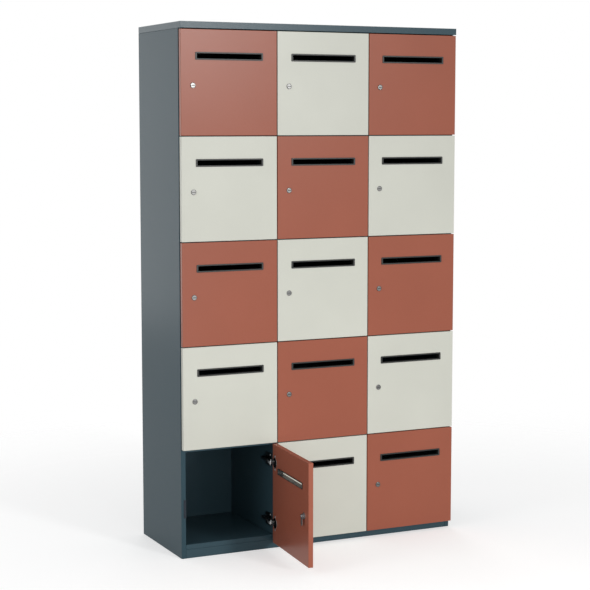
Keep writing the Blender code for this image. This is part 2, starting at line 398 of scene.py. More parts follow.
@dataclass
class Workpiece:
    """One mesh on the bench, shaped with operators in the frame of what carries it, in millimetres."""

    item: bpy.types.Object

    @classmethod
    def _taken_up(cls) -> Workpiece:
        """Return the new active primitive with its place applied to its mesh."""
        bpy.ops.object.transform_apply(location=True, rotation=True, scale=True)
        return cls(bpy.context.active_object)

    @classmethod
    def block(cls, low: Sequence[float], high: Sequence[float]) -> Workpiece:
        """Start from a block.

        Args:
            low: Lowest corner.
            high: Highest corner.

        Returns:
            The block.
        """
        corner, far = mm(*low), mm(*high)
        bpy.ops.object.select_all(action="DESELECT")
        bpy.ops.mesh.primitive_cube_add(size=1.0, location=(corner + far) / 2, scale=far - corner)
        return cls._taken_up()

    @classmethod
    def rod(cls, radius: float, start: Sequence[float], end: Sequence[float], sides: int) -> Workpiece:
        """Start from a round bar.

        Args:
            radius: Radius.
            start: Middle of one end.
            end: Middle of the other end.
            sides: Facets round the bar.

        Returns:
            The bar.
        """
        near, far = mm(*start), mm(*end)
        run = far - near
        bpy.ops.object.select_all(action="DESELECT")
        bpy.ops.mesh.primitive_cylinder_add(
            vertices=sides,
            radius=radius * MILLIMETRE,
            depth=run.length,
            location=(near + far) / 2,
            rotation=run.to_track_quat("Z", "Y").to_euler(),
        )
        return cls._taken_up()

    @classmethod
    def dowel(cls, radius: float, middle: Vector, front: float, back: float, sides: int) -> Workpiece:
        """Start from a round bar that runs from front to back through a point, between two depths."""
        return cls.rod(radius, middle + Vector((0, front, 0)), middle + Vector((0, back, 0)), sides)

    def _hold(self) -> None:
        """Make this the only selected object and the active one."""
        bpy.ops.object.select_all(action="DESELECT")
        self.item.select_set(True)
        bpy.context.view_layer.objects.active = self.item

    def _pick(self, kind: str, test: PointTest) -> None:
        """Enter edit mode with the chosen elements selected.

        Args:
            kind: FACE, tested on its middle and its normal, or EDGE, tested on its two ends.
            test: Says whether an element is chosen.
        """
        self._hold()
        bpy.ops.object.mode_set(mode="EDIT")
        bpy.ops.mesh.select_mode(type=kind)
        bpy.ops.mesh.select_all(action="DESELECT")
        mesh = bmesh.from_edit_mesh(self.item.data)
        if kind == "FACE":
            for face in mesh.faces:
                face.select_set(test(face.calc_center_median() / MILLIMETRE, face.normal))
        else:
            for edge in mesh.edges:
                edge.select_set(test(edge.verts[0].co / MILLIMETRE, edge.verts[1].co / MILLIMETRE))
        bmesh.update_edit_mesh(self.item.data)

    def round_edges(self, rounding: Rounding, test: PointTest = everything) -> None:
        """Round chosen edges.

        Args:
            rounding: Radius and facets.
            test: Chooses edges by their two ends.
        """
        self._pick("EDGE", test)
        width = rounding.radius * MILLIMETRE
        bpy.ops.mesh.bevel(offset=width, segments=rounding.steps, affect="EDGES", clamp_overlap=True)
        bpy.ops.object.mode_set(mode="OBJECT")

    def draw_out(self, test: PointTest, inset: float, travel: Sequence[float]) -> None:
        """Inset chosen faces, then extrude what is inside them.

        Args:
            test: Chooses faces by their middle and normal.
            inset: Width of the rim left round them, or 0 for none.
            travel: Extrusion.
        """
        self._pick("FACE", test)
        if inset:
            bpy.ops.mesh.inset(thickness=inset * MILLIMETRE, use_even_offset=True)
        bpy.ops.mesh.extrude_region_move(TRANSFORM_OT_translate={"value": mm(*travel)})
        bpy.ops.object.mode_set(mode="OBJECT")

    def divide(self, test: PointTest, cuts: int) -> None:
        """Cut chosen edges into equal lengths.

        Args:
            test: Chooses edges by their two ends.
            cuts: Cuts on each edge.
        """
        self._pick("EDGE", test)
        bpy.ops.mesh.subdivide(number_cuts=cuts)
        bpy.ops.object.mode_set(mode="OBJECT")

    def merge(self, tool: Workpiece, way: Merge) -> None:
        """Cut another solid out of this one or weld it on, which uses it up.

        Args:
            tool: The other solid.
            way: Cut or weld.
        """
        self._hold()
        step = self.item.modifiers.new("step", "BOOLEAN")
        step.operation = way.value
        step.solver = "EXACT"
        step.object = tool.item
        bpy.ops.object.modifier_apply(modifier=step.name)
        tool.scrap()

    def dress(self, finish: Finish) -> Workpiece:
        """Give the whole piece one finish.

        Args:
            finish: The finish.

        Returns:
            The piece itself.
        """
        self.item.data.materials.clear()
        self.item.data.materials.append(finish.material())
        return self

    def with_parts(self, parts: Iterable[Workpiece]) -> Workpiece:
        """Join other parts into this piece's mesh as separate shells.

        Args:
            parts: The parts, which are used up.

        Returns:
            The piece itself.
        """
        self._hold()
        for part in parts:
            part.item.select_set(True)
        bpy.ops.object.join()
        return self

    def repeated(self, heights: Sequence[float]) -> Workpiece:
        """Stand a copy of the piece at each height, in one mesh.

        Args:
            heights: Heights.

        Returns:
            The piece itself, as the copy at the first height.
        """
        first, *others = (Matrix.Translation(mm(0, 0, height)) for height in heights)
        copies = [Workpiece(self.stamp("copy", place)) for place in others]
        self.item.data.transform(first)
        return self.with_parts(copies)

    def smooth(self) -> Workpiece:
        """Clear slivers, shade rounded faces smooth and keep hard corners and flat faces.

        Returns:
            The piece itself.
        """
        self._pick("FACE", everything)
        bpy.ops.mesh.dissolve_degenerate(threshold=SLIVER * MILLIMETRE)
        bpy.ops.object.mode_set(mode="OBJECT")
        bpy.ops.object.shade_smooth_by_angle(angle=SMOOTH_ANGLE)
        step = self.item.modifiers.new("flat", "WEIGHTED_NORMAL")
        step.keep_sharp = True
        bpy.ops.object.modifier_apply(modifier=step.name)
        return self

    def stamp(self, name: str, place: Matrix) -> bpy.types.Object:
        """Copy the piece with its own mesh to a place.

        Args:
            name: Name of the copy.
            place: Where the piece's frame goes.

        Returns:
            The copy.
        """
        mesh = self.item.data.copy()
        mesh.name = name
        mesh.transform(place)
        copy = bpy.data.objects.new(name, mesh)
        bpy.context.scene.collection.objects.link(copy)
        return copy

    def scrap(self) -> None:
        """Remove the piece from the bench."""
        bpy.data.objects.remove(self.item)


@dataclass(frozen=True)
class PanHead:
    """Pan-head screw with a cross recess: lengths in mm, crown and recess as shares of rise and radius."""

    radius: float
    rise: float
    sunk: float = 0.3
    crown: float = 0.6
    recess_depth: float = 0.5
    recess_reach: float = 0.62
    recess_half: float = 0.13

    def model(self, spot: Sequence[float], outward: Sequence[float]) -> Workpiece:
        """Model the head.

        Args:
            spot: Middle of the seat in millimetres.
            outward: Direction in which the head stands, along an axis.

        Returns:
            The head.
        """
        seat, up = Vector(spot), Vector(outward)
        top = seat + up * self.rise
        rim = self.rise - TOUCH
        head = Workpiece.rod(self.radius, seat - up * self.sunk, top, Sides.PIN)
        crown = Rounding(self.rise * self.crown)
        head.round_edges(crown, lambda a, b: min((a - seat).dot(up), (b - seat).dot(up)) > rim)
        across = Vector((up.y, up.z, up.x))
        for axis in (across, up.cross(across)):
            half = axis * self.radius * self.recess_reach + axis.cross(up) * self.radius * self.recess_half
            half = Vector(map(abs, half))
            low, high = top - up * self.rise * self.recess_depth, top + up * OVERCUT
            ends = [Vector(map(pick, low, high)) for pick in (min, max)]
            head.merge(Workpiece.block(ends[0] - half, ends[1] + half), Merge.CUT)
        return head


@dataclass(frozen=True)
class DoorPlace:
    """Where one door hangs: its row and column, and its hinge axis in the cabinet."""

    row: int
    column: int
    place: Matrix

    @property
    def tag(self) -> str:
        """Row and column as the bodies name them."""
        return f"r{self.row}c{self.column}"

    @property
    def body(self) -> str:
        """Body of the door."""
        return f"door_{self.tag}"

    @property
    def tone(self) -> Tone:
        """Colour in the chequer pattern."""
        return Tone.CREAM if (self.row + self.column) % 2 else Tone.TERRACOTTA

    @property
    def hinge_wall(self) -> Wall:
        """Upright that the door hangs on."""
        return Wall.END if self.column == COLUMNS else Wall.DIVIDER

    @property
    def lock_wall(self) -> Wall:
        """Upright that the door locks to."""
        return Wall.END if self.column == 1 else Wall.DIVIDER


@dataclass
class Door:
    """Door board with rounded edging, mail slot, lock bore and hinge cup bores, in millimetres."""

    width: float
    height: float
    thick: float
    carcass_front: float
    edge: Rounding = Rounding(1.0)
    gap: float = 3.5
    slot_width: float = 255.0
    slot_height: float = 18.5
    slot_drop: float = 95.5
    slot_play: float = 0.3
    sleeve_wall: float = 2.2
    lock_inset: float = 46.5
    lock_drop: float = 201.5
    bore_radius: float = 8.3
    hinge_from_top: float = 70.0
    hinge_from_bottom: float = 79.0
    cup_inset: float = 23.0
    cup_radius: float = 19.8
    cup_depth: float = 12.5

    @property
    def lock_centre(self) -> Vector:
        """Axis of the lock on the door's front."""
        return Vector((self.lock_inset - self.width, 0.0, self.height - self.lock_drop))

    @property
    def hinge_heights(self) -> Span:
        """Heights of the lower and the upper hinge."""
        return (self.hinge_from_bottom, self.height - self.hinge_from_top)

    def round_slot(self, front: float, back: float, side: float, rise: float) -> Workpiece:
        """Model a block round the middle of the mail slot.

        Args:
            front: Depth of its front.
            back: Depth of its back.
            side: How far it goes beyond the slot on the left and right.
            rise: How far it goes beyond the slot above and below.

        Returns:
            The block.
        """
        middle = Vector((-self.width / 2, 0.0, self.height - self.slot_drop))
        half = Vector((self.slot_width / 2 + side, 0, self.slot_height / 2 + rise))
        return Workpiece.block(middle - half + Vector((0, front, 0)), middle + half + Vector((0, back, 0)))

    def board(self) -> Workpiece:
        """Model the board.

        Returns:
            The board about its hinge axis, at its front right lower corner.
        """
        board = Workpiece.block((-self.width, 0, 0), (0, self.thick, self.height))
        board.round_edges(self.edge)
        behind = self.thick + OVERCUT
        play = self.sleeve_wall + self.slot_play
        board.merge(self.round_slot(-OVERCUT, behind, play, play), Merge.CUT)
        bore = Workpiece.dowel(self.bore_radius, self.lock_centre, -OVERCUT, behind, Sides.BAR)
        board.merge(bore, Merge.CUT)
        for height in self.hinge_heights:
            middle = Vector((-self.cup_inset, 0, height))
            cup = Workpiece.dowel(self.cup_radius, middle, self.thick - self.cup_depth, behind, Sides.CUP)
            board.merge(cup, Merge.CUT)
        return board.smooth()


@dataclass
class SlotLiner:
    """Moulded frame of the mail slot: front flange and sleeve, in millimetres."""

    door: Door
    flange_side: float = 6.5
    flange_rise: float = 4.9
    flange_front: float = -2.0
    flange_back: float = -0.3
    sleeve_overlap: float = 0.5
    sleeve_proud: float = 3.0
    corner: Rounding = Rounding(3.0, 5)
    lip: Rounding = Rounding(0.9)

    def frame(self) -> Workpiece:
        """Model the liner.

        Returns:
            The liner about the door's hinge axis.
        """
        wall, rear = self.door.sleeve_wall, self.door.thick + self.sleeve_proud
        frame = self.door.round_slot(self.flange_front, self.flange_back, self.flange_side, self.flange_rise)
        frame.round_edges(self.corner, runs(Axis.Y))
        sleeve = self.door.round_slot(self.flange_back - self.sleeve_overlap, rear, wall, wall)
        frame.merge(sleeve, Merge.WELD)
        frame.merge(self.door.round_slot(self.flange_front - OVERCUT, rear + OVERCUT, 0, 0), Merge.CUT)
        front, back = before(Axis.Y, self.flange_front), after(Axis.Y, rear)
        frame.round_edges(self.lip, lambda a, b: front(a, b) or back(a, b))
        return frame.dress(Finish.LINER).smooth()


@dataclass
class CamLock:
    """Cam lock: bezel, barrel and nut on the door, and the turning plug with its cam, in millimetres."""

    door: Door
    face_radius: float = 10.0
    face_front: float = -2.5
    face_back: float = -0.05
    face_dome: Rounding = Rounding(1.2, 5)
    plug_radius: float = 8.4
    plug_front: float = -2.3
    plug_back: float = -0.1
    plug_play: float = 0.15
    plug_seat: float = 1.2
    key_length: float = 14.0
    key_width: float = 2.2
    key_depth: float = 1.8
    keyway_sunk: float = 0.3
    keyway_bite: float = 0.05
    keyway_edge: Rounding = Rounding(0.1, 1)
    barrel_radius: float = 7.8
    barrel_front: float = -0.6
    barrel_short: float = 0.4
    barrel_edge: Rounding = Rounding(0.5)
    washer_radius: float = 12.7
    washer_back: float = 0.7
    washer_edge: Rounding = Rounding(0.2)
    nut_radius: float = 11.5
    nut_front: float = 0.6
    nut_back: float = 3.8
    strike_lip: float = 3.0
    strike_bite: float = 5.0
    clearance: float = 0.6
    cam_thick: float = 2.5
    cam_half: float = 6.0
    cam_above: float = 8.0
    cam_corner: Rounding = Rounding(4.5, 6)
    cam_screw: PanHead = PanHead(4.6, 2.6)

    @property
    def cam_front(self) -> float:
        """Depth of the cam's front, just behind the strike's lip."""
        return self.door.carcass_front + self.strike_lip + self.clearance

    def wall_distance(self, wall: Wall) -> float:
        """Distance from the lock's axis to the face of the upright beside it."""
        return self.door.lock_inset + self.door.gap / 2 - wall.value

    def case(self) -> Workpiece:
        """Model what stays still in the door.

        Returns:
            The bezel, barrel, washer and hexagon nut.
        """
        at, back = self.door.lock_centre, self.door.thick
        front = before(Axis.Y, self.face_front)
        bezel = Workpiece.dowel(self.face_radius, at, self.face_front, self.face_back, Sides.LOCK)
        bezel.round_edges(self.face_dome, front)
        rim = self.face_radius - self.face_dome.radius - self.plug_radius - self.plug_play
        bezel.draw_out(lambda centre, normal: front(centre, centre), rim, (0, self.plug_seat, 0))
        barrel_end = self.cam_front - self.barrel_short
        barrel = Workpiece.dowel(self.barrel_radius, at, self.barrel_front, barrel_end, Sides.BAR)
        barrel.round_edges(self.barrel_edge)
        washer = Workpiece.dowel(self.washer_radius, at, back + SKIN, back + self.washer_back, Sides.BAR)
        washer.round_edges(self.washer_edge)
        nut = Workpiece.dowel(self.nut_radius, at, back + self.nut_front, back + self.nut_back, Sides.NUT)
        nut.round_edges(SMALL_EDGE)
        # The bezel's darker metal is painted shade round the plug.
        bezel.dress(Finish.RING)
        behind = [part.dress(Finish.ZINC) for part in (barrel, washer, nut)]
        return bezel.with_parts(behind).smooth()

    def plug(self, wall: Wall) -> Workpiece:
        """Model what turns: key face, cam and cam screw.

        Args:
            wall: Upright that the cam reaches.

        Returns:
            The plug with its cam hanging down.
        """
        at = self.door.lock_centre
        reach = self.wall_distance(wall) + self.strike_bite
        face = Workpiece.dowel(self.plug_radius, at, self.plug_front, self.plug_back, Sides.LOCK)
        face.round_edges(FINE_EDGE, before(Axis.Y, self.plug_front))
        half = Vector((self.key_length / 2, self.key_depth, self.key_width / 2))
        key = at + Vector((0, self.plug_front, 0))
        face.merge(Workpiece.block(key - half, key + half), Merge.CUT)
        fit = Vector((self.keyway_bite, -self.keyway_sunk, self.keyway_bite))
        # A near-black block sunk in the key slot is painted shade inside it.
        keyway = Workpiece.block(key - half + Vector((0, half.y, 0)) - fit, key + half + fit)
        keyway.round_edges(self.keyway_edge)
        keyway.dress(Finish.KEYWAY)
        rear = self.cam_front + self.cam_thick
        low = at + Vector((-self.cam_half, self.cam_front, -reach))
        cam = Workpiece.block(low, at + Vector((self.cam_half, rear, self.cam_above)))
        cam.round_edges(self.cam_corner, runs(Axis.Y))
        cam.round_edges(FINE_EDGE, level(Axis.Y))
        screw = self.cam_screw.model(at + Vector((0, rear, 0)), (0, 1, 0))
        face.dress(Finish.NICKEL)
        behind = [part.dress(Finish.ZINC) for part in (cam, screw)]
        return face.with_parts([keyway, *behind]).smooth()


@dataclass
class Strike:
    """Angle plate on an upright's front edge, with a window for the cam, in millimetres."""

    lock: CamLock
    sheet: float = 0.8
    front_leg: float = 9.0
    side_leg: float = 15.0
    side_start: float = 0.2
    above: float = 15.0
    below: float = 55.0
    corner: Rounding = Rounding(2.5, 4)
    window_depths: Span = (2.7, 10.2)
    window_rises: Span = (-22.8, 7.2)
    screw: PanHead = PanHead(2.6, 0.5)
    screw_margin: float = 7.0

    def plate(self, wall: Wall) -> Workpiece:
        """Model the plate about the hinge axis of the door that it serves.

        Args:
            wall: Upright that carries the plate.

        Returns:
            The plate.
        """
        at = self.lock.door.lock_centre
        face = at.x - self.lock.wall_distance(wall)
        end, inner = face - self.front_leg, face + self.sheet
        edge = self.lock.door.carcass_front
        front = edge - self.sheet
        low, high = at.z - self.below, at.z + self.above
        plate = Workpiece.block((end, front, low), (inner, edge - SKIN, high))
        start = front + self.side_start
        leg = Workpiece.block((face + SKIN, start, low), (inner, front + self.side_leg, high))
        plate.merge(leg, Merge.WELD)
        outer, through = before(Axis.X, end), runs(Axis.Y, self.sheet / 2)
        plate.round_edges(self.corner, lambda a, b: outer(a, b) and through(a, b))
        window = Workpiece.block(
            (face - OVERCUT, edge + self.window_depths[0], at.z + self.window_rises[0]),
            (inner + OVERCUT, edge + self.window_depths[1], at.z + self.window_rises[1]),
        )
        plate.merge(window, Merge.CUT)
        heads = [
            self.screw.model((face - self.front_leg / 2, front, height), (0, -1, 0))
            for height in (low + self.screw_margin, high - self.screw_margin)
        ]
        return plate.with_parts(heads).dress(Finish.GUNMETAL).smooth()


@dataclass
class CupHinge:
    """Concealed hinge: cup in the door, arm on its mounting plate, and the link between them.

    Lengths are in millimetres. Depths run backwards from the door's front, and widths from its hinge edge.
    """

    door: Door
    pin_inset: float = 20.0
    pin_depth: float = 14.0
    pin_radius: float = 2.2
    pin_rises: Span = (-9.6, 6.2)
    pin_edge: Rounding = Rounding(0.5, 2)
    flange_radius: float = 21.0
    flange_thick: float = 0.6
    flange_edge: Rounding = Rounding(0.2, 2)
    cup_wall: float = 0.4
    cup_floor: float = 0.5
    cup_lift: float = 0.1
    cup_play: float = 0.05
    cup_edge: Rounding = Rounding(0.1, 1)
    wing_reach: float = 8.5
    wing_slope: float = 0.955
    wing_screw: PanHead = PanHead(3.6, 0.7)
    wing_screw_in: float = 1.0
    wing_screw_sunk: float = 0.1
    arm_far: float = 23.6
    arm_half: float = 5.6
    arm_depths: Span = (29.6, 101.0)
    arm_seat: float = 1.0
    arm_edge: Rounding = Rounding(1.8)
    adjuster: PanHead = PanHead(3.4, 0.9)
    adjuster_depth: float = 40.0
    cap_proud: float = 1.2
    cap_sunk: float = 0.4
    cap_depths: Span = (48.0, 97.0)
    cap_half: float = 4.4
    cap_corner: Rounding = Rounding(3.2, 5)
    root: float = 3.0
    neck_places: Span = (-23.8, -16.4)
    neck_gap: float = 3.9
    neck_half: float = 5.5
    nose_places: Span = (-26.5, -16.5)
    nose_front: float = 9.5
    nose_drop: float = 9.0
    nose_corner: Rounding = Rounding(3.0, 5)
    plate_thick: float = 2.9
    plate_half: float = 25.0
    plate_depths: Span = (32.0, 88.0)
    plate_corner: Rounding = Rounding(9.0, 6)
    plate_edge: Rounding = Rounding(0.7, 2)
    plate_screw: PanHead = PanHead(4.2, 1.2)
    plate_screw_depth: float = 41.0
    plate_screw_rise: float = 18.5
    link_length: float = 21.0
    link_low: float = 0.15
    link_high: float = 5.4
    link_thick: float = 2.2
    link_edge: Rounding = Rounding(0.4, 2)
    eye_radius: float = 3.4
    hook: float = 7.5
    hook_step: float = 0.6
    strap_turn: float = 16.4
    strap_cuts: int = 26

    def cups(self) -> Workpiece:
        """Model the two cups of a door.

        Returns:
            The cups with their flanges, wings and screws.
        """
        back = self.door.thick
        top = back + self.flange_thick
        floor = back - self.door.cup_depth + self.cup_lift
        centre = Vector((-self.door.cup_inset, 0, 0))
        inside = self.door.cup_radius - 2 * self.cup_wall
        outside = inside + self.cup_wall
        flange = Workpiece.dowel(self.flange_radius, centre, back + SKIN, top, Sides.CUP)
        for sign in (1, -1):
            wing = (0, 0, sign * self.wing_reach)
            flange.draw_out(lambda middle, normal, s=sign: normal.z * s > self.wing_slope, 0, wing)
        hole = Workpiece.dowel(outside + self.cup_play, centre, back - OVERCUT, top + OVERCUT, Sides.CUP)
        flange.merge(hole, Merge.CUT)
        flange.round_edges(self.flange_edge, after(Axis.Y, top))
        cup = Workpiece.dowel(outside, centre, floor, top, Sides.CUP)
        hollow = Workpiece.dowel(inside, centre, floor + self.cup_floor, top + OVERCUT, Sides.CUP)
        cup.merge(hollow, Merge.CUT)
        cup.round_edges(self.cup_edge, after(Axis.Y, top))
        seat = self.flange_radius + self.wing_reach / 2 - self.wing_screw_in
        heads = [
            self.wing_screw.model((centre.x, top - self.wing_screw_sunk, sign * seat), (0, 1, 0))
            for sign in (1, -1)
        ]
        bright = [part.dress(Finish.STEEL) for part in (flange, *heads)]
        # The cup body in the near-black copy of the hinge metal is painted shade in its hollow.
        cup.dress(Finish.ONYX).with_parts(bright)
        return cup.repeated(self.door.hinge_heights).smooth()

    def arms(self, wall: Wall) -> Workpiece:
        """Model the two arms of a door on the upright that carries it.

        Args:
            wall: Upright that carries the arms.

        Returns:
            The arms with their plates, caps, pins and screws.
        """
        face = self.door.gap / 2 - wall.value
        outer, far = face - self.plate_thick, -self.arm_far
        top, root = far - self.cap_proud, self.arm_depths[0] + self.root

        def slab(places: Span, depths: Span, half: float) -> Workpiece:
            """Return a block as high above the middle as below it."""
            return Workpiece.block((places[0], depths[0], -half), (places[1], depths[1], half))

        plate = slab((outer, face), self.plate_depths, self.plate_half)
        plate.round_edges(self.plate_corner, runs(Axis.X))
        plate.round_edges(self.plate_edge, before(Axis.X, outer))
        arm = slab((far, face - self.arm_seat), self.arm_depths, self.arm_half)
        arm.round_edges(self.arm_edge, before(Axis.X, far))
        cap = slab((top, far + self.cap_sunk), self.cap_depths, self.cap_half)
        cap.round_edges(self.cap_corner, runs(Axis.X))
        cap.round_edges(SMALL_EDGE, before(Axis.X, top))
        neck = slab(self.neck_places, (self.pin_depth + self.neck_gap, root), self.neck_half)
        neck.round_edges(SMALL_EDGE)
        low = (self.nose_places[0], self.nose_front, -self.nose_drop)
        nose = Workpiece.block(low, (self.nose_places[1], root, 0.0))
        ahead, upright = before(Axis.Y, self.nose_front), runs(Axis.Z)
        nose.round_edges(self.nose_corner, lambda a, b: ahead(a, b) and upright(a, b))
        nose.round_edges(SMALL_EDGE, level(Axis.Z))
        ends = [(-self.pin_inset, self.pin_depth, height) for height in self.pin_rises]
        pin = Workpiece.rod(self.pin_radius, *ends, Sides.PIN)
        pin.round_edges(self.pin_edge, level(Axis.Z))
        heads = [
            self.plate_screw.model((outer, self.plate_screw_depth, sign * self.plate_screw_rise), (-1, 0, 0))
            for sign in (1, -1)
        ]
        adjuster = self.adjuster.model((far, self.adjuster_depth, 0), (-1, 0, 0))
        # Plate, arm, cap, neck and adjuster in the near-black copy of the hinge metal are painted shade.
        dark = [part.dress(Finish.ONYX) for part in (plate, arm, cap, neck, adjuster)]
        bright = [part.dress(Finish.SATIN) for part in (nose, pin, *heads)]
        return plate.with_parts([*dark[1:], *bright]).repeated(self.door.hinge_heights).smooth()

    def link(self) -> Workpiece:
        """Model one link of the door that stands open.

        Returns:
            The link about its pin, lying in the closed cup: eye, bar and hook.
        """
        half, low, high = self.link_thick / 2, self.link_low, self.link_high
        end, tip = -self.link_length, self.link_thick - self.link_length
        bar = Workpiece.block((end, -half, low), (0, half, high))
        hook = Workpiece.block((end, -self.hook, low + self.hook_step), (tip, 0, high - self.hook_step))
        bar.merge(hook, Merge.WELD)
        bar.merge(Workpiece.rod(self.eye_radius, (0, 0, low), (0, 0, high), Sides.EYE), Merge.WELD)
        flat, hook_end = level(Axis.Z), before(Axis.Y, -self.hook)

        def outline(a: Vector, b: Vector) -> bool:
            """Choose the upper and lower outline of the bar and the end of the hook."""
            between = low + TOUCH < a.z < high - TOUCH
            return hook_end(a, b) or (flat(a, b) and not between)

        bar.round_edges(self.link_edge, outline)
        return bar.dress(Finish.STEEL).smooth()

    def straps(self) -> Workpiece:
        """Model the two links of a closed door, coiled in their cups between pin and cup floor.

        Returns:
            The links, each an arc about the hinge axis.
        """
        radius = math.hypot(self.pin_inset, self.pin_depth)
        start = math.atan2(self.pin_depth, -self.pin_inset)
        arc = radius * math.radians(self.strap_turn)
        half = self.link_thick / 2
        bar = Workpiece.block((radius - half, 0, self.link_low), (radius + half, arc, self.link_high))
        bar.divide(runs(Axis.Y), self.strap_cuts)
        bar.item.data.transform(Matrix.Rotation(start, 4, "Z"))
        return bar.dress(Finish.STEEL).repeated(self.door.hinge_heights).smooth()


@dataclass
class Carcass:
    """Boards of the cabinet, which keep their own shape, and the back panel's screws, in millimetres."""

    boards: tuple[str, ...] = (
        "left_side", "right_side", "top_board", "base_board", "plinth_rail", "back_panel",
        "divider_1", "divider_2", "shelf_1", "shelf_2", "shelf_3", "shelf_4",
    )
    screw: PanHead = PanHead(4.0, 1.0)
    screws_across: int = 5
    screw_margin: float = 30.0
    base_rise: float = 43.0

    def dress(self, nodes: dict[str, bpy.types.Object]) -> None:
        """Give every board its finish.

        Args:
            nodes: The frame's nodes by name.
        """
        for name in self.boards:
            Workpiece(nodes[name]).dress(Finish.SLATE_SIDE if name.endswith("_side") else Finish.SLATE)
            LOG.info("%s dressed", name)

    def back_screws(self) -> None:
        """Model the screws that hold the back panel to shelves, base and dividers, as one piece."""
        low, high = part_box("back_panel")
        low, high = low / MILLIMETRE, high / MILLIMETRE
        heights = [low.z + self.base_rise]
        for number in (4, 3, 2, 1):
            shelf_low, shelf_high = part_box(f"shelf_{number}")
            heights.append((shelf_low.z + shelf_high.z) / 2 / MILLIMETRE)
        first, last = low.x + self.screw_margin, high.x - self.screw_margin
        step = (last - first) / (self.screws_across - 1)
        row = [first + step * number for number in range(self.screws_across)]
        spots = [(place, high.y, height) for height in heights for place in row]
        for number in (1, 2):
            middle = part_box(f"divider_{number}")[1].x / MILLIMETRE - Wall.DIVIDER.value
            spots.append((middle, high.y, high.z - self.screw_margin))
        head = self.screw.model((0, 0, 0), (0, 1, 0))
        heads = [Workpiece(head.stamp("screw", Matrix.Translation(mm(*spot)))) for spot in spots]
        head.scrap()
        screws = heads[0].with_parts(heads[1:]).dress(Finish.SATIN).smooth()
        screws.item.name = screws.item.data.name = "back_screws"
        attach(screws.item, "carcass")
        LOG.info("back_screws: %d heads", len(spots))


class Sorter:
    """The whole mail sorter, dressed on its frame."""

    def __init__(self, frame: dict) -> None:
        """Read the doors' places and sizes from the frame.
        """
        self.nodes = frame["nodes"]
        joints = [joint for joint in frame["joints"] if joint["name"].startswith("door_")]
        self.places = [self._door_place(joint) for joint in joints]
        low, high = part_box("door_r1c1")
        size = (high - low) / MILLIMETRE
        behind = (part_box("left_side")[0].y - low.y) / MILLIMETRE
        self.door = Door(width=size.x, height=size.z, thick=size.y, carcass_front=behind)
        self.lock = CamLock(self.door)
        self.hinge = CupHinge(self.door)

    @staticmethod
    def _door_place(joint: dict) -> DoorPlace:
        """Read where a door hangs. A door that stands open has a range below zero.

        Args:
            joint: The door's joint.

        Returns:
            The place of the door as it rests.
        """
        row, column = (int(digit) for digit in joint["child"] if digit.isdigit())
        turn = Matrix.Rotation(-math.radians(joint["range_deg"][0]), 4, "Z")
        return DoorPlace(row, column, Matrix.Translation(joint["pos_m"]) @ turn)

    @staticmethod
    def _hang(shape: Workpiece, name: str, place: Matrix, body: str, slot: str | None) -> bpy.types.Object:
        """Copy a finished shape to its place on a body.

        Args:
            shape: The shape.
            name: Name of the piece.
            place: Where the shape's frame goes.
            body: Body that carries the piece.
            slot: Not used.

        Returns:
            The piece.
        """
        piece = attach(shape.stamp(name, place), body)
        LOG.info("%s on %s", name, body)
        return piece

    def build_doors(self) -> None:
        """Make the door boards, slot liners and locks."""
        board, frame = self.door.board(), SlotLiner(self.door).frame()
        case = self.lock.case()
        plugs = {wall: self.lock.plug(wall) for wall in Wall}
        for door in self.places:
            board.dress(Finish[door.tone.name])
            panel = self._hang(board, f"door_board_{door.tag}", door.place, door.body, door.tone.value)
            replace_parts(panel, f"door_{door.tag}")
            liner = self._hang(frame, f"slot_frame_{door.tag}", door.place, door.body, "liner")
            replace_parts(liner, f"slot_liner_{door.tag}")
            self._hang(case, f"lock_case_{door.tag}", door.place, door.body, "lock")
            shape = plugs[door.lock_wall]
            plug = self._hang(shape, f"lock_plug_{door.tag}", door.place, f"lock_{door.tag}", "lock")
            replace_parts(plug, f"lock_{door.tag}")
        for shape in (board, frame, case, *plugs.values()):
            shape.scrap()

    def build_strikes(self) -> None:
        """Put a strike on the upright beside each lock."""
        plates = {wall: Strike(self.lock).plate(wall) for wall in Wall}
        for door in self.places:
            upright = Matrix.Translation(door.place.translation)
            self._hang(plates[door.lock_wall], f"strike_{door.tag}", upright, "carcass", None)
        for shape in plates.values():
            shape.scrap()

    def build_hinges(self) -> None:
        """Put two hinges on each door."""
        cups, straps, link = self.hinge.cups(), self.hinge.straps(), self.hinge.link()
        arms = {wall: self.hinge.arms(wall) for wall in Wall}
        pin = mm(-self.hinge.pin_inset, self.hinge.pin_depth, 0)
        for door in self.places:
            upright = Matrix.Translation(door.place.translation)
            self._hang(cups, f"hinge_cups_{door.tag}", door.place, door.body, "hinge")
            self._hang(arms[door.hinge_wall], f"hinge_arms_{door.tag}", upright, "carcass", "hinge")
            if door.place.to_euler().z > 0.0:
                for body, height in zip(("hinge_link_lower", "hinge_link_upper"), self.door.hinge_heights):
                    spot = upright @ Matrix.Translation(pin + mm(0, 0, height))
                    place = spot @ door.place.to_3x3().to_4x4()
                    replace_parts(self._hang(link, f"{body}_bar", place, body, "hinge"), body)
                continue
            strap = straps.stamp(f"hinge_links_{door.tag}", upright)
            door.body
            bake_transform(strap)
            LOG.info("%s between carcass and %s", strap.name, door.body)
        for shape in (cups, straps, link, *arms.values()):
            shape.scrap()

    def build(self) -> None:
        """Dress the boards and make every other piece."""
        carcass = Carcass()
        carcass.dress(self.nodes)
        carcass.back_screws()
        self.build_doors()
        self.build_strikes()
        self.build_hinges()


@dataclass(frozen=True)
class SoftBox:
    """One lamp of the studio: a square of light that faces a point."""

    name: str
    spot: Point
    aim: Point
    side: float
    power: float

    def hang(self) -> None:
        """Add the lamp to the scene."""
        lamp = bpy.data.lights.new(self.name, "AREA")
        lamp.size = self.side
        lamp.energy = self.power
        item = bpy.data.objects.new(self.name, lamp)
        item.location = self.spot
        item.rotation_euler = (Vector(self.aim) - Vector(self.spot)).to_track_quat("-Z", "Y").to_euler()
        bpy.context.scene.collection.objects.link(item)


